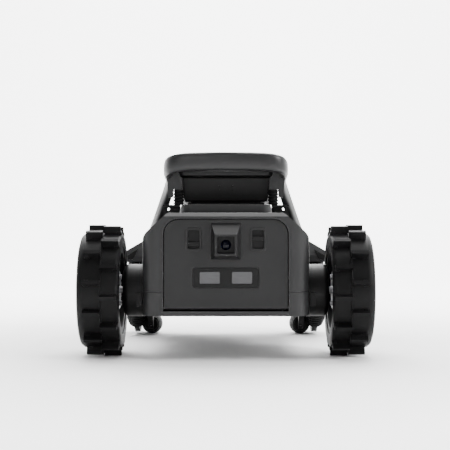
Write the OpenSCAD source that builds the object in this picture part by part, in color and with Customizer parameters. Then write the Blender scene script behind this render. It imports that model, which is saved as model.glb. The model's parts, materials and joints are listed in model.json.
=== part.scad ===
// Two wheel drive robot car: two lugged drive wheels at the rear, two omni wheels in front,
// a shelled body with a hinged rear hatch, and a roll hoop whose rails run down to the omni wheels.
// +X is to the right seen from behind, +Y is the way it drives, +Z is up. Millimetres.

/* [Running gear] */
// Radius of the drive wheels over the lugs
wheel_r = 110; // [106:1:112]
// Distance from the drive axle to the omni wheel axle
wheelbase = 400; // [396:1:408]
// Radius of the omni wheels
omni_r = 80; // [79:1:82]
// Number of lugs in each of the two rows on a tyre
lug_count = 13; // [11:1:15]

/* [Body] */
// Half of the body's width at the drive wheels
body_half_w = 136; // [134:1:137]
// Height of the body's underside above the ground
body_bottom = 73; // [71:1:75]
// Height of the rear deck above the ground
deck_z = 240; // [239:1:241]
// Wall thickness of the shells
wall = 4; // [3:0.5:4.5]

/* [Rear hatch] */
// Half of the hatch's width
door_half_w = 100; // [98:1:101]
// Height of the hatch's top edge above the ground
door_top = 229; // [227:1:230]

/* [Hidden] */
$fn = 48;

roller_half = 32.5;                    // half the length of an omni wheel's roller
rib_pitch = 5.5;                       // eleven ribs on a roller, five each side of the middle one
rib_w = 3.8;
rib_h = 1.6;
rib_reach = 5 * rib_pitch + rib_w / 2;

// Lengthwise layout: the drive axle's place makes the whole length centred on Y = 0
rear_face = -98;                       // body's rear face, from the drive axle
hatch_face = rear_face + 2;
hood_reach = 19;                       // camera hood, out of the hatch
rear_reach = hood_reach - hatch_face;
front_reach = wheelbase + omni_r * cos(30 - asin(rib_reach / omni_r));
axle_y = (rear_reach - front_reach) / 2;
nose_y = wheelbase + 42;               // front face of the shells, from the drive axle

// Heights
seam_z = 112;                          // joint between the lower and upper shell
seam_gap = 0.5;
shoulder_z = 202.5;                    // where the side walls turn into the chamfers
deck_half_w = 94;
nose_top_z = 135;
nose_half_w = 104;
slope_start_y = 130;                   // from here the deck falls towards the nose
plinth_top = 254;
cabin_bottom = 260;
cabin_top = 303;
cable_r = 16;                          // cable way from the body into the cabin
cable_y = 60;

// Wheel places along X
housing_r = 44;
housing_end = 172;                     // outer face of the gear housings
flange_x = 180;                        // inner face of the axle flange
web_x = flange_x + 6;
web_t = 6;
screw_ring = 22;
rim_in = 176;
rim_out = 238;
rim_r = 70;                            // seat of the tyre
lug_h = 13;
lug_t = 6.6;
row_in = 176;
row_mid = 203.5;
row_out = 231.4;
axle_r = 6;
running = 0.05;                        // radial clearance of what turns
bearing_r = 14;
bearing_w = 8;
bearing_in = body_half_w + 2;
bearing_out = housing_end - 1 - bearing_w;

// Gear pair in each housing
gear_m = 1;
gear_teeth = 40;
pinion_teeth = 17;
backlash = 0.12;                       // taken off each tooth at the pitch circle
gear_x = 149;
gear_w = 10;
centre_d = gear_m * (gear_teeth + pinion_teeth) / 2;
motor_r = 17;
motor_len = 60;
shaft_r = 3;
pilot_r = 6;

// Omni wheels: three rollers in each of two rows
row_x = [149.5, 178];
roller_r = 21;
roller_axis_r = omni_r - roller_r;
pin_r = 3;
stub_r = 8;
stub_in = 125;
stub_out = 203;
axle_screw_y = [-12, 12];
axle_screw_z = 100;
wheel_room = omni_r + 6;

// Hatch
hatch_t = 4;
hinge_y = hatch_face + hatch_t;
hinge_z = 87;
hatch_gap = 1;
hatch_corner = 24;
lip_h = 1.6;                           // raised lip round the hatch's opening
lip_w = 3;
pin_hinge_r = 1.5;
latch_x = 52;
window_w = 19;
window_low = 181.6;
window_high = 212;
rim_w = 3.2;
rib_z = 189.6;                         // thumb rib of a slider at its lower end
slider_lift = [0, 8.8];                // how far up the left and right slider stand
cam_z = 188;
cam_w = 28;
hood_root = 24;                        // half widths of the hood at the hatch and at its mouth
hood_mouth = 18;
lens_r = 8.5;
lens_seat = hatch_face - 4;
contact_x = 26;
contact_z = 135;
insert_w = 105;
insert_h = 31;
insert_t = 1.6;
contact_w = 32.6;
contact_h = 19;
contact_post = 3;

// ---- Outlines ----
function unit(v) = v / norm(v);
function xy(p) = [p[0], p[1]];
function arc(c, r, a0, a1, n = 10) =
    [for (i = [0:n]) c + r * [cos(a0 + (a1 - a0) * i / n), sin(a0 + (a1 - a0) * i / n)]];

// One corner of an outline, p, turned into an arc of radius p[2]
function fillet(a, p, b, n = 6) =
    let (u = unit(xy(a) - xy(p)), v = unit(xy(b) - xy(p)), half = acos(u * v) / 2,
         c = xy(p) + unit(u + v) * p[2] / sin(half), s = xy(p) + u * p[2] / tan(half) - c,
         e = xy(p) + v * p[2] / tan(half) - c, a0 = atan2(s[1], s[0]), raw = atan2(e[1], e[0]) - a0,
         turn = raw > 180 ? raw - 360 : raw < -180 ? raw + 360 : raw)
    arc(c, p[2], a0, a0 + turn, n);
function rounded(pts) =
    let (n = len(pts))
    [for (i = [0:n - 1])
        each (pts[i][2] > 0 ? fillet(pts[(i + n - 1) % n], pts[i], pts[(i + 1) % n]) : [xy(pts[i])])];
// A convex outline moved inwards by t, its corner radii with it
function inset(pts, t) =
    let (n = len(pts))
    [for (i = [0:n - 1])
        let (p = xy(pts[i]), u = unit(xy(pts[(i + n - 1) % n]) - p), v = unit(xy(pts[(i + 1) % n]) - p),
             half = acos(u * v) / 2, q = p + unit(u + v) * t / sin(half))
        [q[0], q[1], max(pts[i][2] - t, 0)]];
function box_outline(w, low, high, r) =
    [[w, low, r], [w, high, r], [-w, high, r], [-w, low, r]];

// Body outlines seen along Y, along X and from above; each point is [a, b, corner radius]
section = [
    [body_half_w, body_bottom, 6], [body_half_w, shoulder_z, 22], [deck_half_w, deck_z, 10],
    [-deck_half_w, deck_z, 10], [-body_half_w, shoulder_z, 22], [-body_half_w, body_bottom, 6]
];
profile = [
    [rear_face, body_bottom, 0], [rear_face, deck_z - 6.5, 2], [rear_face + 8, deck_z, 4],
    [slope_start_y, deck_z, 60], [nose_y, nose_top_z, 24], [nose_y, body_bottom + 20, 12],
    [nose_y - 34, body_bottom, 12]
];
plan = [
    [body_half_w, rear_face, 28], [body_half_w, 170, 80], [nose_half_w, nose_y, 26],
    [-nose_half_w, nose_y, 26], [-body_half_w, 170, 80], [-body_half_w, rear_face, 28]
];
function hatch_outline(gap, low) =
    [[door_half_w + gap, low, 0], [door_half_w + gap, door_top + gap, hatch_corner + gap],
     [-door_half_w - gap, door_top + gap, hatch_corner + gap], [-door_half_w - gap, low, 0]];

// ---- Placing ----
module on_side(side) mirror([side < 0 ? 1 : 0, 0, 0]) children();
module from_axle() translate([0, axle_y, 0]) children();
// Children drawn as (x, z), extruded from y0 to y1
module wall_y(y0, y1) translate([0, y1, 0]) rotate([90, 0, 0]) linear_extrude(y1 - y0) children();
// Children drawn as (y, z), extruded from x0 to x1
module wall_x(x0, x1) translate([x0, 0, 0]) rotate([90, 0, 90]) linear_extrude(x1 - x0) children();
// A solid of revolution about X at height z; its outline is [radius, x]
module turned_x(z, pts) translate([0, 0, z]) rotate([90, 0, 90]) rotate_extrude() polygon(pts);
module rod_x(x0, x1, r, y = 0, z = 0)
    translate([x0, y, z]) rotate([0, 90, 0]) cylinder(r = r, h = x1 - x0);
module rod_y(y0, y1, r, x = 0, z = 0)
    translate([x, y1, z]) rotate([90, 0, 0]) cylinder(r = r, h = y1 - y0);

// ---- Body shells ----
module body_solid(t) {
    intersection() {
        wall_y(-200, 600) polygon(rounded(inset(section, t)));
        wall_x(-200, 200) polygon(rounded(inset(profile, t)));
        linear_extrude(400) polygon(rounded(inset(plan, t)));
    }
}

module body_skin() {
    difference() {
        union() {
            difference() {
                body_solid(0);
                body_solid(wall);
            }
            wall_y(rear_face - lip_h, rear_face + 2) intersection() {
                polygon(rounded(hatch_outline(hatch_gap + lip_w, body_bottom - 20)));
                translate([-200, body_bottom + 0.5]) square([400, 200]);
            }
        }
        wall_y(rear_face - 5, rear_face + wall + 5)
            polygon(rounded(hatch_outline(hatch_gap, hinge_z - hatch_t - 2 * hatch_gap)));
        for (side = [-1, 1]) on_side(side) {
            rod_x(body_half_w - wall - 5, body_half_w + 5, motor_r + 1.5, centre_d, wheel_r);
            for (dy = axle_screw_y) rod_x(90, 140, 2.5, wheelbase + dy, axle_screw_z);
        }
    }
}

module hinge_bosses() {
    for (side = [-1, 1]) on_side(side) difference() {
        translate([door_half_w + hatch_gap, rear_face + wall - 1, body_bottom + wall - 1]) cube([8, 11, 18]);
        rod_x(door_half_w - 5, door_half_w + 7, pin_hinge_r, hinge_y, hinge_z);
    }
}

module board_posts() {
    for (x = [-50, 50], y = [240, 320]) translate([x, y, body_bottom + wall]) cylinder(r = 4, h = 5);
}

module lower_shell() {
    color("#303032") from_axle() {
        intersection() {
            body_skin();
            translate([-200, -200, 0]) cube([400, 800, seam_z - seam_gap / 2]);
        }
        hinge_bosses();
        board_posts();
    }
}

module upper_shell() {
    color("#38383a") from_axle() difference() {
        intersection() {
            body_skin();
            translate([-200, -200, seam_z + seam_gap / 2]) cube([400, 800, 300]);
        }
        // cable way up into the cabin
        translate([0, cable_y, deck_z - 10]) cylinder(r = cable_r, h = 20);
    }
}

module deck_plinth() {
    color("#2a2a2c") from_axle() difference() {
        intersection() {
            wall_y(-60, 124) polygon(rounded([[77, deck_z, 0], [74, plinth_top, 5],
                                              [-74, plinth_top, 5], [-77, deck_z, 0]]));
            linear_extrude(400)
                polygon(rounded([[77, -56, 22], [77, 122, 22], [-77, 122, 22], [-77, -56, 22]]));
        }
        translate([0, cable_y, deck_z - 10]) cylinder(r = cable_r, h = 40);
    }
}

// ---- Cabin ----
// Side outline of the cabin, (y, z) from the drive axle; it stands on the sloping deck in front
function deck_at(y) = deck_z - (y - slope_start_y) * (deck_z - nose_top_z) / (nose_y - slope_start_y);
roof_front = [190, 262];
function roof_at(y) = cabin_top - (y - 14) * (cabin_top - roof_front[1]) / (roof_front[0] - 14);
cabin_side = [
    [22, cabin_bottom, 3], [14, cabin_top, 3], [roof_front[0], roof_front[1], 12],
    [268, deck_at(268) + 2, 0], [258, deck_at(258) + 0.2, 0],
    [150, deck_at(150) + 0.2, 0], [150, cabin_bottom, 0]
];
cabin_section = [[70, 190, 0], [70, cabin_bottom, 0], [81, cabin_top, 0],
                 [-81, cabin_top, 0], [-70, cabin_bottom, 0], [-70, 190, 0]];

module cabin() {
    color("#1c1c1e") from_axle() difference() {
        union() {
            intersection() {
                wall_x(-100, 100) polygon(rounded(cabin_side));
                wall_y(0, 300) polygon(rounded(cabin_section));
            }
            // neck down to the plinth
            translate([-60, 32, plinth_top]) cube([120, 90, cabin_bottom - plinth_top]);
        }
        // hollow for the vision computer, open down the neck for the cables
        wall_x(-62, 62) polygon([[32, cabin_bottom + 4], [32, 292], [132, 270], [132, cabin_bottom + 4]]);
        translate([0, cable_y, plinth_top - 1]) cylinder(r = cable_r, h = 16);
        for (x = [-11, 11], z = [279, 286]) rod_y(0, 20, 1.5, x, z);
    }
}

module cabin_lid() {
    color("#303032") from_axle() {
        intersection() {
            wall_x(-84, 84) polygon(rounded([[8, roof_at(8) + 0.05, 1], [8, cabin_top + 11.5, 4],
                                             [206, 267, 5], [206, roof_at(206) + 0.05, 1]]));
            linear_extrude(400) polygon(rounded([[84, 6, 20], [84, 208, 14], [-84, 208, 14], [-84, 6, 20]]));
        }
    }
}

module front_visor() {
    color("#08080a") from_axle() wall_x(-52, 52)
        polygon([[206, 254.2], [210, 256.4], [258, 214.6], [254, 212.4]]);
}

// ---- Hoop and side rails ----
roundness = 0.72;                      // 1 gives an ellipse, less a squarer bar
// Section of the bar, w wide and h tall
function superellipse(w, h, n = 16) =
    [for (i = [0:n - 1]) let (a = 360 * i / n, c = cos(a), s = sin(a))
        [w / 2 * sign(c) * pow(abs(c), roundness), h / 2 * sign(s) * pow(abs(s), roundness)]];
function bezier(p, t) =
    len(p) == 1 ? p[0] : bezier([for (i = [0:len(p) - 2]) p[i] * (1 - t) + p[i + 1] * t], t);
// Smooth curve through the points
function spline_at(p, i, t) =
    let (n = len(p), a = p[max(i - 1, 0)], b = p[i], c = p[min(i + 1, n - 1)], d = p[min(i + 2, n - 1)])
    bezier([b, b + (c - a) / 6, c - (d - b) / 6, c], t);
function smooth(p, k = 4) =
    concat([for (i = [0:len(p) - 2], j = [0:k - 1]) spline_at(p, i, j / k)], [p[len(p) - 1]]);
function heading(p, i) =
    let (d = p[min(i + 1, len(p) - 1)] - p[max(i - 1, 0)]) unit([d[0], d[1]]);

// The bar swept along points; it stays upright and goes from its first size to its last
module bar_sweep(path, sizes, first, last) {
    n = 16;
    m = len(path);
    rings = [for (i = [0:m - 1])
        let (f = i / (m - 1), w = sizes[0][0] * (1 - f) + sizes[1][0] * f,
             h = sizes[0][1] * (1 - f) + sizes[1][1] * f,
             d = i == 0 ? first : i == m - 1 ? last : heading(path, i))
        [for (q = superellipse(w, h, n)) path[i] + [d[1] * q[0], -d[0] * q[0], q[1]]]];
    points = [for (r = rings) each r];
    sides = [for (i = [0:m - 2], j = [0:n - 1])
        each [[i * n + j, i * n + (j + 1) % n, (i + 1) * n + j],
              [(i + 1) * n + j, i * n + (j + 1) % n, (i + 1) * n + (j + 1) % n]]];
    caps = [[for (j = [n - 1:-1:0]) j], [for (j = [0:n - 1]) (m - 1) * n + j]];
    polyhedron(points, concat(sides, caps));
}

// Right half of the hoop's centre line, from the middle of the rear bar, then the rail's
hoop_half = [[0, -41, 325.5], [45, -40, 325], [75, -37, 323.5], [91, -28, 320], [97.5, -8, 315],
             [97, 20, 308], [95, 50, 299]];
rail_line = [[95, 50.1, 299], [101, 78, 281], [113, 110, 251], [126, 142, 219], [134, 160, 200]];
hoop_line = concat([for (i = [len(hoop_half) - 1:-1:1]) let (p = hoop_half[i]) [-p[0], p[1], p[2]]],
                   hoop_half);

module roll_hoop() {
    color("#303032") from_axle() {
        bar_sweep(smooth(hoop_line, 3), [[15, 31], [15, 31]], [0, -1], [0, 1]);
        for (side = [-1, 1]) on_side(side) wall_y(bellows_y - 7, bellows_y + 6)
            polygon([[73, bellows_top], [89.4, bellows_top], [89.4, 267], [97, 267], [100, 300],
                     [98, 312], [81, 312], [78, 303], [74, 300]]);
    }
}

module hoop_rails() {
    color("#2c2c2e") from_axle() for (side = [-1, 1]) on_side(side) difference() {
        bar_sweep(smooth(rail_line, 2), [[15, 31], [17, 28]], [0, 1], [0, 1]);
        body_solid(0);
    }
}

bellows_top = 280;
bellows_x = 80;
bellows_y = 4;

module bellows_brackets() {
    color("#141416") from_axle() for (side = [-1, 1]) on_side(side) difference() {
        union() {
            translate([77.5, bellows_y - 10, plinth_top - 3]) cube([29, 20, 3]);
            translate([77.5, bellows_y + 4, 226]) cube([29, 4, plinth_top - 228]);
        }
        rod_y(0, 30, 2.4, 98, 247);
        body_solid(0);
    }
}

module mount_bellows() {
    color("#101012") from_axle() for (side = [-1, 1]) on_side(side)
        translate([bellows_x, bellows_y, plinth_top]) {
            cylinder(r = 7, h = bellows_top - plinth_top);
            for (i = [0:4]) translate([0, 0, 0.8 + i * 5.2]) cylinder(r = 9, h = 3);
        }
}

// ---- Front wheel carriers ----
guard_out = 204;
guard_section = [[100, 146, 0], [100, 204, 0], [138, 204, 4],
                 [guard_out, 165, 4], [guard_out, 146, 3], [180, 148, 0]];
guard_side = [[322, 138, 0], [322, 160, 8], [350, 206, 20], [430, 206, 20], [462, 150, 8], [462, 138, 0]];

module omni_guards() {
    color("#3a3a3c") from_axle() for (side = [-1, 1]) on_side(side) difference() {
        intersection() {
            wall_y(300, 480) polygon(rounded(guard_section));
            wall_x(90, 210) polygon(rounded(guard_side));
        }
        translate([0, wheelbase, 0]) turned_x(omni_r, [[0, 124], [wheel_room, 124], [wheel_room, 184],
                                                       [70, guard_out + 2], [0, guard_out + 2]]);
        body_solid(0);
        guard_pocket(0.2);
    }
}

// Blank plate let into the rear face of the guard
module guard_pocket(grow) {
    wall_y(300, 325) offset(delta = grow) polygon([[172, 174], [196, 159], [196, 151], [182, 153]]);
}

module guard_inserts() {
    color("#101012") from_axle() for (side = [-1, 1]) on_side(side) intersection() {
        guard_pocket(0);
        translate([160, 322.6, 140]) cube([50, 2.4, 60]);
    }
}

module front_axles() {
    color("#8a8c90") from_axle() for (side = [-1, 1]) on_side(side) translate([0, wheelbase, 0]) {
        difference() {
            translate([95, -20, omni_r - 11]) cube([stub_in - 95, 40, 41]);
            translate([0, -wheelbase, 0]) body_solid(0);
            for (dy = axle_screw_y) rod_x(90, 140, 2.5, dy, axle_screw_z);
        }
        rod_x(stub_in, stub_out, stub_r, 0, omni_r);
    }
}

module axle_screws() {
    color("#b8bac0") from_axle() for (side = [-1, 1]) on_side(side) for (dy = axle_screw_y)
        translate([0, wheelbase + dy, axle_screw_z]) {
            rod_x(101, stub_in, 2.5);
            difference() {
                rod_x(stub_in, stub_in + 2.8, 4.5);
                translate([stub_in + 1, 0, 0]) rotate([0, 90, 0]) cylinder(r = 2, h = 4, $fn = 6);
            }
        }
}

module omni_axle_caps() {
    color("#202022") from_axle() for (side = [-1, 1]) on_side(side)
        translate([0, wheelbase, 0]) turned_x(omni_r, [[stub_r, 199.6], [12, 199.6], [12, 203.5],
            [10, 205.5], [0, 205.5], [0, stub_out], [stub_r, stub_out]]);
}

// Places of the rollers: [row, angle from +Y]
roller_places = [for (row = [0, 1], k = [0:2]) [row, 270 + row * 60 + k * 120]];
module at_roller(i) {
    translate([row_x[roller_places[i][0]], wheelbase, omni_r]) rotate([roller_places[i][1], 0, 0])
        translate([0, roller_axis_r, 0]) children();
}

// Barrel with a stepped, ribbed surface; its own axis is Z
function barrel_r(s) = sqrt(omni_r * omni_r - s * s) - roller_axis_r;
module roller(side, i) {
    color("#1a1a1c") from_axle() on_side(side) at_roller(i) difference() {
        union() {
            rotate_extrude() polygon(concat([[0, -roller_half]],
                [for (k = [-5:5]) let (s = roller_half * k / 5) [barrel_r(s) - rib_h, s]],
                [[0, roller_half]]));
            for (k = [-5:5]) let (s = k * rib_pitch, e = rib_w / 2)
                rotate_extrude() polygon([[pin_r + 1, s - e], [barrel_r(s - e), s - e],
                                          [barrel_r(s + e), s + e], [pin_r + 1, s + e]]);
        }
        translate([0, 0, -roller_half - 1]) cylinder(r = pin_r + running, h = 2 * roller_half + 2);
    }
}

module omni_pins(side) {
    color("#9a9ca0") from_axle() on_side(side) for (i = [0:5]) at_roller(i)
        translate([0, 0, -39]) cylinder(r = pin_r, h = 78);
}

module omni_hub(side) {
    color("#2a2a2c") from_axle() on_side(side) difference() {
        translate([0, wheelbase, 0]) {
            rod_x(128.6, 199, 15, 0, omni_r);
            for (x = row_x) rod_x(x - 5, x + 5, omni_r - 4, 0, omni_r);
        }
        translate([0, wheelbase, 0]) rod_x(120, 210, stub_r + running, 0, omni_r);
        for (i = [0:5]) at_roller(i) {
            translate([-6, -23, -roller_half - 0.8]) cube([12, 60, 2 * roller_half + 1.6]);
            translate([0, 0, -46]) cylinder(r = pin_r, h = 92);
        }
    }
}

// ---- Drive units ----
module motor_housings() {
    color("#242426") from_axle() for (side = [-1, 1]) on_side(side) {
        turned_x(wheel_r, concat(
            [[8.5, housing_end]], arc([housing_r - 10, housing_end - 10], 10, 90, 0, 6),
            [[housing_r, body_half_w], [housing_r - 4, body_half_w], [housing_r - 4, housing_end - 5],
             [18, housing_end - 5], [18, bearing_out], [bearing_r, bearing_out],
             [bearing_r, housing_end - 1], [8.5, housing_end - 1]]));
        // clip over the joint with the body
        difference() {
            translate([139, -48, wheel_r - 24]) cube([9, 14, 22]);
            rod_x(130, 150, housing_r - 1, 0, wheel_r);
        }
    }
}

module gearbox_plates() {
    color("#7c7e82") from_axle() for (side = [-1, 1]) on_side(side) difference() {
        turned_x(wheel_r, [[8, body_half_w], [housing_r - 4, body_half_w],
            [housing_r - 4, body_half_w + 4], [18, body_half_w + 4], [18, bearing_in + bearing_w],
            [bearing_r, bearing_in + bearing_w], [bearing_r, bearing_in], [8, bearing_in]]);
        rod_x(body_half_w - 1, body_half_w + 5, pilot_r, centre_d, wheel_r);
    }
}

module drive_motors() {
    color("#55575b") from_axle() for (side = [-1, 1]) on_side(side) translate([0, centre_d, wheel_r])
        difference() {
            union() {
                rod_x(body_half_w - motor_len, body_half_w, motor_r);
                rod_x(body_half_w - motor_len - 6, body_half_w - motor_len, 8);
                rod_x(body_half_w, body_half_w + 4, pilot_r);
            }
            rod_x(body_half_w - 30, body_half_w + 5, shaft_r + running);
        }
}

module axle_bearings() {
    color("#c0c2c6") from_axle() for (side = [-1, 1], x = [bearing_in, bearing_out]) on_side(side)
        turned_x(wheel_r, [[axle_r + running, x], [8.5, x], [8.5, x + 0.6], [11.5, x + 0.6], [11.5, x],
            [bearing_r, x], [bearing_r, x + bearing_w], [11.5, x + bearing_w],
            [11.5, x + bearing_w - 0.6], [8.5, x + bearing_w - 0.6], [8.5, x + bearing_w],
            [axle_r + running, x + bearing_w]]);
}

// Involute spur gear outline
function involute(a) = tan(a) * 180 / PI - a;
function flank(z, r) =
    let (base = gear_m * z / 2 * cos(20))
    (gear_m * PI / 2 - backlash) / (gear_m * z) * 180 / PI
        + involute(20) - involute(acos(min(base / r, 1)));
function gear_outline(z) =
    let (rp = gear_m * z / 2, root = rp - 1.25 * gear_m, top = rp + gear_m,
         low = max(rp * cos(20), root), steps = 5)
    [for (k = [0:z - 1])
        let (c = 360 * k / z, radii = [for (i = [0:steps]) low + (top - low) * i / steps])
        each concat([root * [cos(c - flank(z, low)), sin(c - flank(z, low))]],
            [for (r = radii) r * [cos(c - flank(z, r)), sin(c - flank(z, r))]],
            [for (i = [steps:-1:0]) let (r = radii[i]) r * [cos(c + flank(z, r)), sin(c + flank(z, r))]],
            [root * [cos(c + flank(z, low)), sin(c + flank(z, low))]])];

module output_gear(side) {
    color("#a08a5a") from_axle() on_side(side) translate([gear_x, 0, wheel_r]) difference() {
        rotate([90, 0, 90]) linear_extrude(gear_w) polygon(gear_outline(gear_teeth));
        rod_x(-1, gear_w + 1, axle_r);
    }
}

module motor_pinion(side) {
    color("#b0b2b6") from_axle() on_side(side) translate([gear_x - 1, centre_d, wheel_r]) {
        rotate([90, 0, 90]) linear_extrude(gear_w + 2) polygon(gear_outline(pinion_teeth));
        rod_x(body_half_w - 28 - gear_x, 0, shaft_r);
    }
}

module drive_axle(side) {
    color("#a8aaae") from_axle() on_side(side) difference() {
        union() {
            rod_x(body_half_w + 1, flange_x, axle_r, 0, wheel_r);
            rod_x(flange_x, web_x, 32, 0, wheel_r);
            rod_x(web_x, web_x + web_t + 5, 10, 0, wheel_r);
        }
        at_screws() rod_x(flange_x - 1, web_x + 1, 2.6);
    }
}

module at_screws() {
    for (k = [0:3]) translate([0, 0, wheel_r]) rotate([k * 90, 0, 0])
        translate([0, 0, screw_ring]) children();
}

module hub_screws(side) {
    color("#d0d2d6") from_axle() on_side(side) at_screws() {
        rod_x(flange_x, web_x + web_t, 2.5);
        difference() {
            rod_x(flange_x - 3.6, flange_x, 4.25);
            translate([flange_x - 4, 0, 0]) rotate([0, 90, 0]) cylinder(r = 2.2, h = 2.4, $fn = 6);
        }
    }
}

module wheel_rim(side) {
    color("#1e1e20") from_axle() on_side(side) difference() {
        turned_x(wheel_r, [[10, web_x], [64, web_x], [64, rim_in], [73.5, rim_in], [73.5, rim_in + 3],
            [rim_r, rim_in + 3], [rim_r, rim_out - 3], [73.5, rim_out - 3], [73.5, rim_out],
            [64, rim_out], [64, web_x + web_t], [10, web_x + web_t]]);
        at_screws() rod_x(web_x - 1, web_x + web_t + 1, 2.5);
        for (k = [0:4]) translate([0, 0, wheel_r]) rotate([k * 72, 0, 0])
            rod_x(web_x - 1, web_x + web_t + 1, 9, 0, 47);
    }
}

module hub_cap(side) {
    color("#2a2a2c") from_axle() on_side(side) {
        turned_x(wheel_r, [[0, 224], [64, 224], [64, 236], [60, 236], [57, 228], [22, 228], [20, 233],
                           [0, 233]]);
        for (k = [0:4]) translate([0, 0, wheel_r]) rotate([k * 72 + 36, 0, 0])
            translate([227, -5, 18]) cube([4, 10, 38]);
    }
}

// Block lugs of one row, a little narrower at the tip
module lug_row(x0, x1, phase) {
    tip = sqrt(wheel_r * wheel_r - lug_t * lug_t / 4);
    for (k = [0:lug_count - 1]) translate([0, 0, wheel_r]) rotate([phase + k * 360 / lug_count, 0, 0])
        wall_x(x0, x1) polygon([[wheel_r - lug_h - 4, -lug_t / 2 - 1], [tip, -lug_t / 2],
            [tip, lug_t / 2], [wheel_r - lug_h - 4, lug_t / 2 + 1]]);
}

phase_in = 4.2;                        // how far the inner row stands turned at rest
module tyre(side) {
    carcass = wheel_r - lug_h;
    color("#161618") from_axle() on_side(side) {
        turned_x(wheel_r, [[rim_r, rim_in + 3], [73.5, rim_in + 3], [74.5, 174], [90, 173], [94.5, 175],
            [carcass, 179], [carcass, 230], [96, 236], [92, 241], [86, 243], [77, 241.5],
            [73.5, rim_out - 3], [rim_r, rim_out - 3]]);
        lug_row(row_in, row_mid + 0.5, 180 + phase_in);
        lug_row(row_mid, row_out, 180 + phase_in + 180 / lug_count);
    }
}

// ---- Inside the body ----
module battery_pack() {
    color("#46484c") from_axle() {
        translate([-65, 56, body_bottom + wall]) cube([130, 150, 62]);
        translate([-45, 206, body_bottom + wall + 10]) cube([30, 6, 18]);
    }
}

module main_board() {
    color("#1f5a3c") from_axle() {
        translate([-60, 232, body_bottom + wall + 5]) cube([120, 96, 1.6]);
        for (x = [-45, -20, 5]) translate([x, 236, body_bottom + wall + 6.6]) cube([16, 9, 9]);
        translate([-15, 265, body_bottom + wall + 6.6]) cube([30, 30, 6]);
        for (x = [-48, 34]) translate([x, 300, body_bottom + wall + 6.6]) cube([14, 14, 12]);
    }
}

// ---- Hatch ----
module rect_frame(w, h, r, cx, cz) {
    translate([cx, cz]) polygon(rounded(box_outline(w / 2, -h / 2, h / 2, r)));
}

module hatch_hinge_pins() {
    color("#b8bac0") from_axle() for (side = [-1, 1]) on_side(side)
        rod_x(door_half_w - 8, door_half_w + 7, pin_hinge_r, hinge_y, hinge_z);
}

window_z = (window_low + window_high) / 2;
window_h = window_high - window_low;
module rear_hatch() {
    color("#343436") from_axle() difference() {
        union() {
            wall_y(hatch_face, hinge_y) polygon(rounded(hatch_outline(0, hinge_z)));
            rod_x(-door_half_w, door_half_w, hatch_t, hinge_y, hinge_z);
            for (x = [-latch_x, latch_x]) {
                wall_y(hatch_face - 1.8, hatch_face)
                    rect_frame(window_w + 2 * rim_w, window_h + 2 * rim_w, 5, x, window_z);
                for (s = [-1, 1]) translate([x, 0, 0]) scale([s, 1, 1]) {
                    translate([13.2, hinge_y, 172]) cube([2.6, 4.4, 44]);
                    translate([11, hinge_y + 2.6, 172]) cube([4.8, 1.8, 44]);
                }
            }
        }
        for (x = [-latch_x, latch_x])
            wall_y(hatch_face - 2, hinge_y + 1) rect_frame(window_w, window_h, 2.4, x, window_z);
        wall_y(hatch_face - 1, hatch_face + insert_t)
            rect_frame(insert_w + 2, insert_h + 2, 5, 0, contact_z);
        for (x = [-contact_x, contact_x]) rod_y(hatch_face, hinge_y + 1, contact_post, x, contact_z);
        wall_y(hatch_face - 1, hinge_y + 1) camera_well();
        for (side = [-1, 1]) on_side(side)
            rod_x(door_half_w - 9, door_half_w + 1, pin_hinge_r + running, hinge_y, hinge_z);
    }
}

module latch_slider(x, lift) {
    color("#1c1c1e") from_axle() translate([x, 0, lift]) {
        translate([-13, hinge_y + 0.2, 162]) cube([26, 2.1, 56]);
        translate([-8.8, hatch_face - 1.4, rib_z - 3.2]) cube([17.6, hatch_t + 2, 6.4]);
    }
}

// Square opening that takes the camera
module camera_well() rect_frame(cam_w, cam_w, 2.4, 0, cam_z);

module camera_hood() {
    color("#3a3a3c") from_axle() difference() {
        intersection() {
            wall_x(-hood_root, hood_root)
                polygon([[hatch_face, cam_z - 24], [hatch_face, cam_z + 35],
                         [hatch_face - hood_reach, cam_z + 16.5], [hatch_face - hood_reach, cam_z - 17.5]]);
            linear_extrude(300)
                polygon([[hood_root, hatch_face], [hood_mouth, hatch_face - hood_reach],
                         [-hood_mouth, hatch_face - hood_reach], [-hood_root, hatch_face]]);
        }
        wall_y(hatch_face - 30, hatch_face + 1) camera_well();
    }
}

module camera_module() {
    color("#101012") from_axle() {
        difference() {
            wall_y(lens_seat - 4, hinge_y) camera_well();
            rod_y(lens_seat - 10, lens_seat, lens_r, 0, cam_z);
        }
        translate([-18, hinge_y, cam_z - 18]) cube([36, 1.6, 36]);
    }
}

module camera_lens() {
    color("#203050") from_axle() translate([0, lens_seat, cam_z]) rotate([90, 0, 0])
        rotate_extrude() polygon(concat([[0, 0], [lens_r, 0], [lens_r, 4.5], [lens_r - 1.1, 5.2]],
                                        arc([0, -3], 11.06, 48, 90, 6)));
}

module contact_insert() {
    color("#1a1a1c") from_axle() difference() {
        wall_y(hatch_face, hatch_face + insert_t) rect_frame(insert_w, insert_h, 4, 0, contact_z);
        for (x = [-contact_x, contact_x])
            wall_y(hatch_face - 1, hatch_face + 2)
                rect_frame(contact_w + 0.4, contact_h + 0.4, 2.4, x, contact_z);
    }
}

module charge_contacts() {
    color("#8c8e92") from_axle() for (x = [-contact_x, contact_x]) {
        wall_y(hatch_face - 0.7, hatch_face + insert_t) rect_frame(contact_w, contact_h, 2.2, x, contact_z);
        rod_y(hatch_face + insert_t, hinge_y + 3, contact_post, x, contact_z);
    }
}

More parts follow.
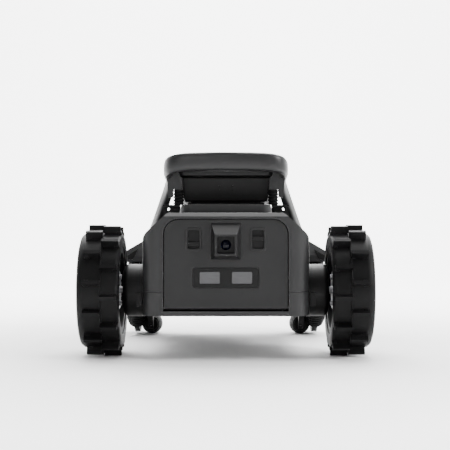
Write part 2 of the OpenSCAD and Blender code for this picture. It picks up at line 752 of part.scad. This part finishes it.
lower_shell();
upper_shell();
deck_plinth();
cabin();
cabin_lid();
front_visor();
roll_hoop();
hoop_rails();
bellows_brackets();
mount_bellows();
omni_guards();
guard_inserts();
front_axles();
axle_screws();
omni_axle_caps();
motor_housings();
gearbox_plates();
drive_motors();
axle_bearings();
battery_pack();
main_board();
hatch_hinge_pins();
rear_hatch();
camera_hood();
camera_module();
camera_lens();
contact_insert();
charge_contacts();
latch_slider(-latch_x, slider_lift[0]);  // latch_slider_left
latch_slider(latch_x, slider_lift[1]);  // latch_slider_right
motor_pinion(-1);  // motor_pinion_left
motor_pinion(1);  // motor_pinion_right
output_gear(-1);  // output_gear_left
output_gear(1);  // output_gear_right
drive_axle(-1);  // drive_axle_left
drive_axle(1);  // drive_axle_right
wheel_rim(-1);  // wheel_rim_left
wheel_rim(1);  // wheel_rim_right
tyre(-1);  // tyre_left
tyre(1);  // tyre_right
hub_cap(-1);  // hub_cap_left
hub_cap(1);  // hub_cap_right
hub_screws(-1);  // hub_screws_left
hub_screws(1);  // hub_screws_right
omni_hub(-1);  // omni_hub_left
omni_hub(1);  // omni_hub_right
omni_pins(-1);  // omni_pins_left
omni_pins(1);  // omni_pins_right
roller(-1, 0);  // roller_left_1
roller(-1, 1);  // roller_left_2
roller(-1, 2);  // roller_left_3
roller(-1, 3);  // roller_left_4
roller(-1, 4);  // roller_left_5
roller(-1, 5);  // roller_left_6
roller(1, 0);  // roller_right_1
roller(1, 1);  // roller_right_2
roller(1, 2);  // roller_right_3
roller(1, 3);  // roller_right_4
roller(1, 4);  // roller_right_5
roller(1, 5);  // roller_right_6
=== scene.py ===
import json
import math
import bpy
import bmesh
from mathutils import Matrix, Vector


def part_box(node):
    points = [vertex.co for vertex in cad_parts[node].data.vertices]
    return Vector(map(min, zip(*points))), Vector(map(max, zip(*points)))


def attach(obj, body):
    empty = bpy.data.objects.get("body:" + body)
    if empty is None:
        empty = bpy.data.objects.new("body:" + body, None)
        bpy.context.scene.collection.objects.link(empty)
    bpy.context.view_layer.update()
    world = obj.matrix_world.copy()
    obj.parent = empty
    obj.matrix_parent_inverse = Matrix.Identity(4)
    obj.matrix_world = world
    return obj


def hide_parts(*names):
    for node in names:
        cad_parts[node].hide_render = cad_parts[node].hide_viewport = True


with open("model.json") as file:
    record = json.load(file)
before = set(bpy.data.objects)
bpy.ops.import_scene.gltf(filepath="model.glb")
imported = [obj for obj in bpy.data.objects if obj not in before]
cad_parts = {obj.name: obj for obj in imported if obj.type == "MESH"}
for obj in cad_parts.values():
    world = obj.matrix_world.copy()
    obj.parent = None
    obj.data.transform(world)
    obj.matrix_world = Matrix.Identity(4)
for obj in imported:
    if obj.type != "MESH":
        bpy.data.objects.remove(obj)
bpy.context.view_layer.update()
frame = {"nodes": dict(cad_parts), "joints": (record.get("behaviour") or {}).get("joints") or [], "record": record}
nodes = frame["nodes"]
record = frame["record"]
joints = {j["name"]: j for j in frame["joints"]}
axle = Vector(joints["wheel_left_spin"]["pos_m"])
SIDES = ((-1, "left"), (1, "right"))  # a piece's side along X, and its name's ending


# ---- Materials: every one is procedural. Lengths here and below are in metres ----

COOL_TINT = (1.0, 1.0, 1.04)
NEUTRAL_TINT = (1.0, 1.0, 1.0)
GRAIN_DEPTH = 0.0002
PATCH_SCALE = 9.0
SHADE_CHANGE = 0.12
ROUGH_CHANGE = 0.05
STREAK_SCALE = 80.0
STREAK_STRETCH = 12.0


def new_material(name):
    m = bpy.data.materials.new(name)
    m.use_nodes = True
    return m, m.node_tree.nodes, m.node_tree.links, m.node_tree.nodes["Principled BSDF"]


def coords(n):
    return n.new("ShaderNodeTexCoord").outputs["Object"]


def noise(n, l, vec, scale, detail=3.0):
    t = n.new("ShaderNodeTexNoise")
    t.inputs["Scale"].default_value = scale
    t.inputs["Detail"].default_value = detail
    l.new(vec, t.inputs["Vector"])
    return t.outputs["Fac"]


def ramp(n, l, fac, low, high):
    """Colour between two stops, each a position and a colour."""
    r = n.new("ShaderNodeValToRGB")
    for element, (position, colour) in zip(r.color_ramp.elements, (low, high)):
        element.position = position
        element.color = colour
    l.new(fac, r.inputs["Fac"])
    return r.outputs["Color"]


def grey(v, tint=COOL_TINT):
    return (v * tint[0], v * tint[1], v * tint[2], 1.0)


def spread(n, l, fac, low, high):
    """A number between low and high over the middle of the noise's range."""
    m = n.new("ShaderNodeMapRange")
    m.inputs["From Min"].default_value = 0.3
    m.inputs["From Max"].default_value = 0.7
    m.inputs["To Min"].default_value = low
    m.inputs["To Max"].default_value = high
    l.new(fac, m.inputs["Value"])
    return m.outputs["Result"]


def bump(n, l, bsdf, fac, strength):
    b = n.new("ShaderNodeBump")
    b.inputs["Strength"].default_value = strength
    b.inputs["Distance"].default_value = GRAIN_DEPTH
    l.new(fac, b.inputs["Height"])
    l.new(b.outputs["Normal"], bsdf.inputs["Normal"])


def plastic(name, value, rough, grain=900.0, strength=0.25, tint=COOL_TINT, metallic=0.0, gloss=0.5):
    """Moulded plastic or rubber: slow change of colour and roughness, and a fine grain in the bump."""
    m, n, l, bsdf = new_material(name)
    v = coords(n)
    patches = noise(n, l, v, PATCH_SCALE)
    fine = noise(n, l, v, grain, 2.0)
    dark = grey(value * (1 - SHADE_CHANGE), tint)
    light = grey(value * (1 + SHADE_CHANGE), tint)
    l.new(ramp(n, l, patches, (0.35, dark), (0.65, light)), bsdf.inputs["Base Color"])
    l.new(spread(n, l, patches, rough - ROUGH_CHANGE, rough + ROUGH_CHANGE), bsdf.inputs["Roughness"])
    bsdf.inputs["Metallic"].default_value = metallic
    bsdf.inputs["Specular IOR Level"].default_value = gloss
    bump(n, l, bsdf, fine, strength)
    return m


def metal(name, colour, rough):
    """Machined metal, with streaks along X."""
    m, n, l, bsdf = new_material(name)
    streak = n.new("ShaderNodeMapping")
    streak.inputs["Scale"].default_value = (1.0, STREAK_STRETCH, STREAK_STRETCH)
    l.new(coords(n), streak.inputs["Vector"])
    f = noise(n, l, streak.outputs["Vector"], STREAK_SCALE)
    dark = tuple(c * 0.88 for c in colour) + (1.0,)
    light = tuple(min(c * 1.1, 1.0) for c in colour) + (1.0,)
    l.new(ramp(n, l, f, (0.3, dark), (0.7, light)), bsdf.inputs["Base Color"])
    l.new(spread(n, l, f, rough - 0.06, rough + 0.08), bsdf.inputs["Roughness"])
    bsdf.inputs["Metallic"].default_value = 1.0
    bump(n, l, bsdf, f, 0.1)
    return m


MATERIALS = {
    "shell_plastic": plastic("shell_plastic", 0.013, 0.36, 700.0, 0.18, gloss=0.26),
    "dark_plastic": plastic("dark_plastic", 0.0040, 0.46, 700.0, 0.2, gloss=0.16),
    "hatch_plastic": plastic("hatch_plastic", 0.0090, 0.40, 700.0, 0.16, gloss=0.22),
    "wheel_plastic": plastic("wheel_plastic", 0.0045, 0.46, gloss=0.12),
    "tyre_rubber": plastic("tyre_rubber", 0.0035, 0.48, 500.0, 0.25, gloss=0.10),
    "soft_rubber": plastic("soft_rubber", 0.003, 0.55, 500.0, 0.25, gloss=0.12),
    "steel": metal("steel", (0.34, 0.34, 0.35), 0.4),
    "alloy": metal("alloy", (0.45, 0.45, 0.47), 0.45),
    "contact_metal": metal("contact_metal", (0.085, 0.085, 0.088), 0.5),
    "gear_brass": metal("gear_brass", (0.6, 0.42, 0.18), 0.35),
    "motor_can": plastic("motor_can", 0.12, 0.4, 300.0, 0.1, NEUTRAL_TINT, metallic=0.6),
    "battery_case": plastic("battery_case", 0.05, 0.5),
    "board_green": plastic("board_green", 0.09, 0.35, 300.0, 0.1, (0.2, 1.0, 0.5)),
    "lens_glass": plastic("lens_glass", 0.0012, 0.07, 100.0, 0.0, (0.8, 1.0, 3.4), gloss=0.12),
    "window_black": plastic("window_black", 0.006, 0.12, 100.0, 0.0),
}


# ---- CAD nodes: edges rounded by modifiers, and a finish in each material slot ----

EDGE_ANGLE = math.radians(32)
SPLIT_ANGLE = math.radians(38)
FLAT_ANGLE = math.radians(0.8)
MERGE_DISTANCE = 0.00002

# Bevel width and steps; a node that isn't listed takes the usual ones
USUAL_EDGE = (0.0006, 2)
EDGES = {
    "upper_shell": (0.0016, 4),
    "lower_shell": (0.0010, 3),
    "omni_guards": (0.0022, 4),
    "cabin_lid": (0.0018, 4),
    "deck_plinth": (0.0014, 3),
    "camera_hood": (0.0014, 4),
    "rear_hatch": (0.0008, 3),
    "cabin": (0.0012, 3),
    "tyre_left": (0.0011, 3),
    "tyre_right": (0.0011, 3),
    "roll_hoop": (0.0, 1),
    "hoop_rails": (0.0, 1),
}


def smooth_shading():
    """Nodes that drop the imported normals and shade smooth, so that the CAD mesh itself stays unchanged."""
    group = bpy.data.node_groups.new("smooth_shading", "GeometryNodeTree")
    for way in ("INPUT", "OUTPUT"):
        group.interface.new_socket("Geometry", in_out=way, socket_type="NodeSocketGeometry")
    drop = group.nodes.new("GeometryNodeRemoveAttribute")
    drop.inputs["Name"].default_value = "custom_normal"
    chain = [group.nodes.new("NodeGroupInput"), drop, group.nodes.new("GeometryNodeSetShadeSmooth"),
             group.nodes.new("NodeGroupOutput")]
    for a, b in zip(chain, chain[1:]):
        group.links.new(a.outputs[0], b.inputs[0])
    return group


def add_bevel(o, width, steps):
    b = o.modifiers.new("edges", "BEVEL")
    b.limit_method = "ANGLE"
    b.angle_limit = EDGE_ANGLE
    b.width = width
    b.segments = steps


def finish_node(o, shading, width, steps):
    o.modifiers.new("shading", "NODES").node_group = shading
    w = o.modifiers.new("weld", "WELD")
    w.merge_threshold = MERGE_DISTANCE
    d = o.modifiers.new("planar", "DECIMATE")
    d.decimate_type = "DISSOLVE"
    d.angle_limit = FLAT_ANGLE
    if width > 0:
        add_bevel(o, width, steps)
    s = o.modifiers.new("split", "EDGE_SPLIT")
    s.split_angle = SPLIT_ANGLE
    wn = o.modifiers.new("normals", "WEIGHTED_NORMAL")
    wn.keep_sharp = True


def finish_cad_nodes():
    slot_of = {s["node"]: s["material_slot"] for s in record["subparts"]}
    shading = smooth_shading()
    for name, o in nodes.items():
        for slot in o.material_slots:
            slot.material = MATERIALS[slot_of[name]]
        width, steps = EDGES.get(name, USUAL_EDGE)
        finish_node(o, shading, width, steps)


# ---- Pieces built here: finer than the CAD they ride with ----

PIECE_BEVEL_STEPS = 3

def lathe(name, profile, seg, closed=True):
    """A body of revolution about Z from (radius, height) points; closed joins the last to the first."""
    bm = bmesh.new()
    rings = []
    for r, z in profile:
        if r == 0.0:
            rings.append([bm.verts.new((0, 0, z))])
            continue
        angles = [2 * math.pi * i / seg for i in range(seg)]
        rings.append([bm.verts.new((r * math.cos(a), r * math.sin(a), z)) for a in angles])
    pairs = list(zip(rings, rings[1:]))
    if closed:
        pairs.append((rings[-1], rings[0]))
    for a, b in pairs:
        for i in range(seg):
            j = (i + 1) % seg
            if len(a) == 1:
                bm.faces.new((a[0], b[j], b[i]))
            elif len(b) == 1:
                bm.faces.new((a[i], a[j], b[0]))
            else:
                bm.faces.new((a[i], a[j], b[j], b[i]))
    bmesh.ops.recalc_face_normals(bm, faces=bm.faces)
    return mesh_from(bm, name)


def mesh_from(bm, name):
    me = bpy.data.meshes.new(name)
    bm.to_mesh(me)
    bm.free()
    me.polygons.foreach_set("use_smooth", [True] * len(me.polygons))
    return me


def block(bm, size, at, turn, taper):
    """A box of this size at a place, turned about X; its outer end is taper times as wide."""
    rot = Matrix.Rotation(turn, 4, "X")
    vs = []
    for z in (-0.5, 0.5):
        k = taper if z > 0 else 1.0
        for x, y in ((-0.5, -0.5), (0.5, -0.5), (0.5, 0.5), (-0.5, 0.5)):
            corner = Vector((x * size[0] * k, y * size[1] * k, z * size[2]))
            vs.append(bm.verts.new(rot @ (Vector(at) + corner)))
    for f in ((0, 3, 2, 1), (4, 5, 6, 7), (0, 1, 5, 4), (1, 2, 6, 5), (2, 3, 7, 6), (3, 0, 4, 7)):
        bm.faces.new([vs[i] for i in f])


def add_piece(name, me, body, slot_name, place, bevel=0.0):
    me.materials.append(MATERIALS[slot_name])
    o = bpy.data.objects.new(name, me)
    o.location = place
    bpy.context.scene.collection.objects.link(o)
    if bevel:
        add_bevel(o, bevel, PIECE_BEVEL_STEPS)
        o.modifiers.new("normals", "WEIGHTED_NORMAL")
    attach(o, body)
    return o


# Rubber bellows under the hoop, one on each side
FOLDS = 5
STEPS_PER_FOLD = 12
VALLEY_R = 0.0073
CREST_R = 0.0092
CREST_FULLNESS = 0.7
BELLOWS_INSET = 0.009  # from the CAD bellows' outer side to their axis
BELLOWS_SEGMENTS = 48


def bellows_profile(height):
    """Smooth folds between two flat ends."""
    profile = [(0.0, 0.0)]
    steps = FOLDS * STEPS_PER_FOLD
    for i in range(steps + 1):
        t = i / steps
        swell = 0.5 - 0.5 * math.cos(2 * math.pi * FOLDS * t)
        profile.append((VALLEY_R + (CREST_R - VALLEY_R) * swell ** CREST_FULLNESS, height * t))
    profile.append((0.0, height))
    return profile


def make_bellows():
    lo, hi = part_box("mount_bellows")
    profile = bellows_profile(hi[2] - lo[2])
    for side, tag in SIDES:
        place = (side * (hi[0] - BELLOWS_INSET), (lo[1] + hi[1]) / 2, lo[2])
        name = "bellows_" + tag
        me = lathe(name, profile, BELLOWS_SEGMENTS, False)
        piece = add_piece(name, me, "chassis", "soft_rubber", place)
        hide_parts("mount_bellows")


# Wedge tabs, a centre ridge and a bead ring on each tyre, riding with the wheel.
# Places across the tyre are measured from its inner face.
# Each row of tabs has its place across the tyre and the angle of its first tab past the horizontal.
LUGS = 13
FIRST_LUG = 4.2
TAB_ROWS = ((0.0055, FIRST_LUG), (0.0528, FIRST_LUG + 180.0 / LUGS))
TAB_SIZE = (0.009, 0.0108, 0.0060)
TAB_R = 0.0985
TAB_TAPER = 0.85
TAB_BEVEL = 0.0008
RIDGE_AT = 0.0306
RIDGE = [(0.0955, -0.0016), (0.0985, -0.0013), (0.0995, 0.0), (0.0985, 0.0013), (0.0955, 0.0016)]
BEAD_AT = 0.0006
BEAD = [(0.0790, -0.0008), (0.0802, 0.0), (0.0828, 0.0002), (0.0840, -0.0008), (0.0828, -0.0012),
        (0.0802, -0.0012)]
RING_SEGMENTS = 120


def make_tabs(side, tag, inner):
    bm = bmesh.new()
    for k in range(LUGS):
        for across, phase in TAB_ROWS:
            turn = math.radians(90 + phase + k * 360.0 / LUGS)
            block(bm, TAB_SIZE, (inner + side * across, 0, TAB_R), turn, TAB_TAPER)
    name = "tyre_tabs_" + tag
    add_piece(name, mesh_from(bm, name), "wheel_" + tag, "tyre_rubber", (0.0, axle.y, axle.z), TAB_BEVEL)


def make_ring(name, tag, profile, turn, x):
    me = lathe(name, profile, RING_SEGMENTS)
    me.transform(Matrix.Rotation(turn, 4, "Y"))
    add_piece(name, me, "wheel_" + tag, "tyre_rubber", (x, axle.y, axle.z))


def make_tyre_details():
    for side, tag in SIDES:
        lo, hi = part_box("tyre_" + tag)
        inner = hi[0] if side < 0 else lo[0]
        make_tabs(side, tag, inner)
        make_ring("tyre_ridge_" + tag, tag, RIDGE, math.pi / 2, inner + side * RIDGE_AT)
        make_ring("tyre_bead_" + tag, tag, BEAD, -side * math.pi / 2, inner + side * BEAD_AT)


# ---- Floor, light and camera ----

FLOOR_HALF_W = 30.0
FLOOR_NEAR = -40.0
BEND_START = 1.6
BEND_R = 1.2
BEND_STEPS = 16
WALL_TOP = 8.0
CAMERA_BACK = 1.98
CAMERA_LENS = 93.6
CAMERA_SHIFT = -0.002


def floor_material():
    """Near white, with a glow that grows away from the object, so that its shadow stays."""
    m, n, l, bsdf = new_material("floor_white")
    f = noise(n, l, coords(n), 3.0)
    white = ramp(n, l, f, (0.3, (0.93, 0.93, 0.93, 1)), (0.7, (0.95, 0.95, 0.95, 1)))
    l.new(white, bsdf.inputs["Base Color"])
    far = n.new("ShaderNodeVectorMath")
    far.operation = "LENGTH"
    l.new(coords(n), far.inputs[0])
    glow = ramp(n, l, far.outputs["Value"], (0.35, (0.0, 0.0, 0.0, 1)), (0.95, (1.0, 1.0, 1.0, 1)))
    l.new(glow, bsdf.inputs["Emission Color"])
    bsdf.inputs["Emission Strength"].default_value = 1.5
    bsdf.inputs["Roughness"].default_value = 0.9
    bsdf.inputs["Specular IOR Level"].default_value = 0.0
    return m


def stage_floor():
    """A floor that bends up into a wall beyond the object."""
    profile = [(FLOOR_NEAR, 0.0), (BEND_START, 0.0)]
    for i in range(1, BEND_STEPS + 1):
        a = math.pi / 2 * i / BEND_STEPS
        profile.append((BEND_START + BEND_R * math.sin(a), BEND_R - BEND_R * math.cos(a)))
    profile.append((BEND_START + BEND_R, WALL_TOP))
    bm = bmesh.new()
    rows = [[bm.verts.new((x, y, z)) for x in (-FLOOR_HALF_W, FLOOR_HALF_W)] for y, z in profile]
    for a, b in zip(rows, rows[1:]):
        bm.faces.new((a[0], a[1], b[1], b[0]))
    me = mesh_from(bm, "floor")
    me.materials.append(floor_material())
    o = bpy.data.objects.new("floor", me)
    bpy.context.scene.collection.objects.link(o)


def area(name, place, target, width, power, height=None):
    d = bpy.data.lights.new(name, "AREA")
    d.shape = "RECTANGLE"
    d.size = width
    d.size_y = height or width
    d.energy = power
    o = bpy.data.objects.new(name, d)
    o.location = place
    o.rotation_euler = (Vector(target) - Vector(place)).to_track_quat("-Z", "Y").to_euler()
    bpy.context.scene.collection.objects.link(o)


def add_lights():
    area("key", (2.3, -1.1, 1.5), (0.05, -0.15, 0.15), 1.1, 85)
    area("top", (0.2, 0.2, 2.6), (0, 0, 0.1), 2.2, 75)
    area("front", (-0.9, -3.0, 1.3), (0, -0.2, 0.2), 1.2, 16)
    area("back", (0.0, 2.0, 2.8), (0, 3.0, 0.9), 3.4, 300, 1.6)
    world = bpy.data.worlds.new("studio")
    bpy.context.scene.world = world
    world.use_nodes = True
    background = world.node_tree.nodes["Background"]
    background.inputs["Color"].default_value = (1, 1, 1, 1)
    background.inputs["Strength"].default_value = 0.4


def add_camera():
    """Level, straight behind the object, at the height of the drive wheels' tops."""
    data = bpy.data.cameras.new("camera")
    data.sensor_width = 36.0
    data.lens = CAMERA_LENS
    data.shift_x = CAMERA_SHIFT
    camera = bpy.data.objects.new("camera", data)
    camera.location = (0.0, axle.y - CAMERA_BACK, 2 * axle.z)
    camera.rotation_euler = (math.pi / 2, 0, 0)
    bpy.context.scene.collection.objects.link(camera)
    bpy.context.scene.camera = camera


finish_cad_nodes()
make_bellows()
make_tyre_details()
stage_floor()
add_lights()
add_camera()
